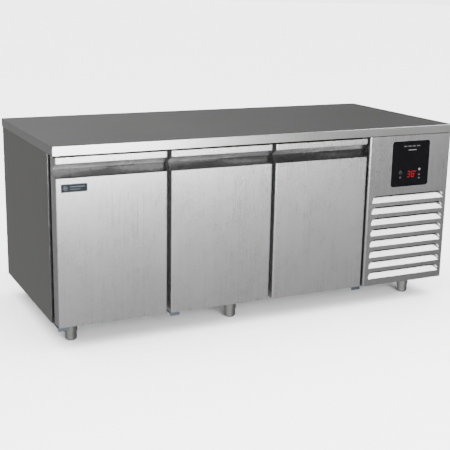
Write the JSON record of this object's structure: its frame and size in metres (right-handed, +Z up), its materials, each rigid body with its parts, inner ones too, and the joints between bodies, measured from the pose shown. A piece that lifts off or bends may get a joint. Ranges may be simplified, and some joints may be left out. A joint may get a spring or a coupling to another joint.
{
  "type": "sandwich prep table",
  "caption": "Low refrigerated counter with a flat steel worktop, hinged doors with groove grips, a louvred machine compartment at the right end and short levelling legs.",
  "frame": {"origin": "on the floor under the middle of the worktop", "axes": "+X to the right seen from the front and along the worktop, +Y to the back, +Z up"},
  "size_m": [1.795, 0.79, 0.785],
  "materials": {
    "worktop_steel": "satin",
    "side_steel": "satin",
    "door_steel": "satin",
    "front_steel": "satin",
    "galvanised_steel": "satin",
    "liner_steel": "satin",
    "hinge_steel": "satin",
    "shelf_wire": "satin",
    "leg_steel": "satin",
    "insulation_foam": "matte",
    "core_board": "matte",
    "inner_plastic": "satin",
    "gasket_rubber": "matte",
    "bush_plastic": "satin",
    "badge_plastic": "gloss",
    "control_gloss": "gloss",
    "module_plastic": "matte",
    "black_plastic": "satin",
    "white_plastic": "satin",
    "coil_aluminium": "satin",
    "black_enamel": "satin"
  },
  "bodies": {
    "cabinet": {"back_panel": "galvanised_steel", "base_and_partition_panel": "galvanised_steel", "bottom_hinge_1": "hinge_steel", "bottom_hinge_2": "hinge_steel", "bottom_hinge_3": "hinge_steel", "cabinet_insulation": "insulation_foam", "cable_gland": "black_plastic", "compressor": "black_enamel", "condenser_coil": "coil_aluminium", "condenser_motor": "black_enamel", "control_panel": "control_gloss", "display_module": "module_plastic", "electrical_box": "black_plastic", "evaporator_coil": "coil_aluminium", "evaporator_cover": "white_plastic", "evaporator_motor": "black_enamel", "fan_shroud": "black_enamel", "front_frame": "liner_steel", "inner_liner": "liner_steel", "left_side_panel": "side_steel", "legs": "leg_steel", "machine_base": "galvanised_steel", "machine_front_panel": "front_steel", "mullion_1": "liner_steel", "mullion_2": "liner_steel", "rear_grille": "galvanised_steel", "right_side_panel": "side_steel", "shelf_1": "shelf_wire", "shelf_2": "shelf_wire", "shelf_3": "shelf_wire", "shelf_supports": "liner_steel", "top_hinge_1": "hinge_steel", "top_hinge_2": "hinge_steel", "top_hinge_3": "hinge_steel", "worktop": "worktop_steel", "worktop_core": "core_board"},
    "door_1": {"door_1_badge": "badge_plastic", "door_1_bushes": "bush_plastic", "door_1_foam": "insulation_foam", "door_1_gasket": "gasket_rubber", "door_1_inner_panel": "inner_plastic", "door_1_skin": "door_steel"},
    "door_2": {"door_2_bushes": "bush_plastic", "door_2_foam": "insulation_foam", "door_2_gasket": "gasket_rubber", "door_2_inner_panel": "inner_plastic", "door_2_skin": "door_steel"},
    "door_3": {"door_3_bushes": "bush_plastic", "door_3_foam": "insulation_foam", "door_3_gasket": "gasket_rubber", "door_3_inner_panel": "inner_plastic", "door_3_skin": "door_steel"},
    "evaporator_fan": {"evaporator_fan": "black_plastic"},
    "condenser_fan": {"condenser_fan": "black_plastic"},
    "foot_1": {"foot_1": "leg_steel"},
    "foot_2": {"foot_2": "leg_steel"},
    "foot_3": {"foot_3": "leg_steel"},
    "foot_4": {"foot_4": "leg_steel"},
    "foot_5": {"foot_5": "leg_steel"},
    "foot_6": {"foot_6": "leg_steel"}
  },
  "joints": [
    {"name": "door_1_hinge", "type": "hinge", "parent": "cabinet", "child": "door_1", "pos_m": [-0.8755, -0.375, 0.416], "axis": [0, 0, -1], "range_deg": [0, 100], "stiffness_Nm_per_rad": 0.4, "springref_deg": -34.38},
    {"name": "door_2_hinge", "type": "hinge", "parent": "cabinet", "child": "door_2", "pos_m": [-0.42117, -0.375, 0.416], "axis": [0, 0, -1], "range_deg": [0, 100], "stiffness_Nm_per_rad": 0.4, "springref_deg": -34.38},
    {"name": "door_3_hinge", "type": "hinge", "parent": "cabinet", "child": "door_3", "pos_m": [0.4475, -0.375, 0.416], "axis": [0, 0, 1], "range_deg": [0, 100], "stiffness_Nm_per_rad": 0.4, "springref_deg": -34.38},
    {"name": "evaporator_fan_spin", "type": "hinge", "parent": "cabinet", "child": "evaporator_fan", "pos_m": [0.16517, 0.272, 0.5525], "axis": [0, 1, 0], "continuous": true},
    {"name": "condenser_fan_spin", "type": "hinge", "parent": "cabinet", "child": "condenser_fan", "pos_m": [0.6825, -0.245, 0.27], "axis": [0, 1, 0], "continuous": true},
    {"name": "foot_1_screw", "type": "slide", "parent": "cabinet", "child": "foot_1", "axis": [0, 0, -1], "range_m": [0, 0.03]},
    {"name": "foot_2_screw", "type": "slide", "parent": "cabinet", "child": "foot_2", "axis": [0, 0, -1], "range_m": [0, 0.03]},
    {"name": "foot_3_screw", "type": "slide", "parent": "cabinet", "child": "foot_3", "axis": [0, 0, -1], "range_m": [0, 0.03]},
    {"name": "foot_4_screw", "type": "slide", "parent": "cabinet", "child": "foot_4", "axis": [0, 0, -1], "range_m": [0, 0.03]},
    {"name": "foot_5_screw", "type": "slide", "parent": "cabinet", "child": "foot_5", "axis": [0, 0, -1], "range_m": [0, 0.03]},
    {"name": "foot_6_screw", "type": "slide", "parent": "cabinet", "child": "foot_6", "axis": [0, 0, -1], "range_m": [0, 0.03]}
  ]
}
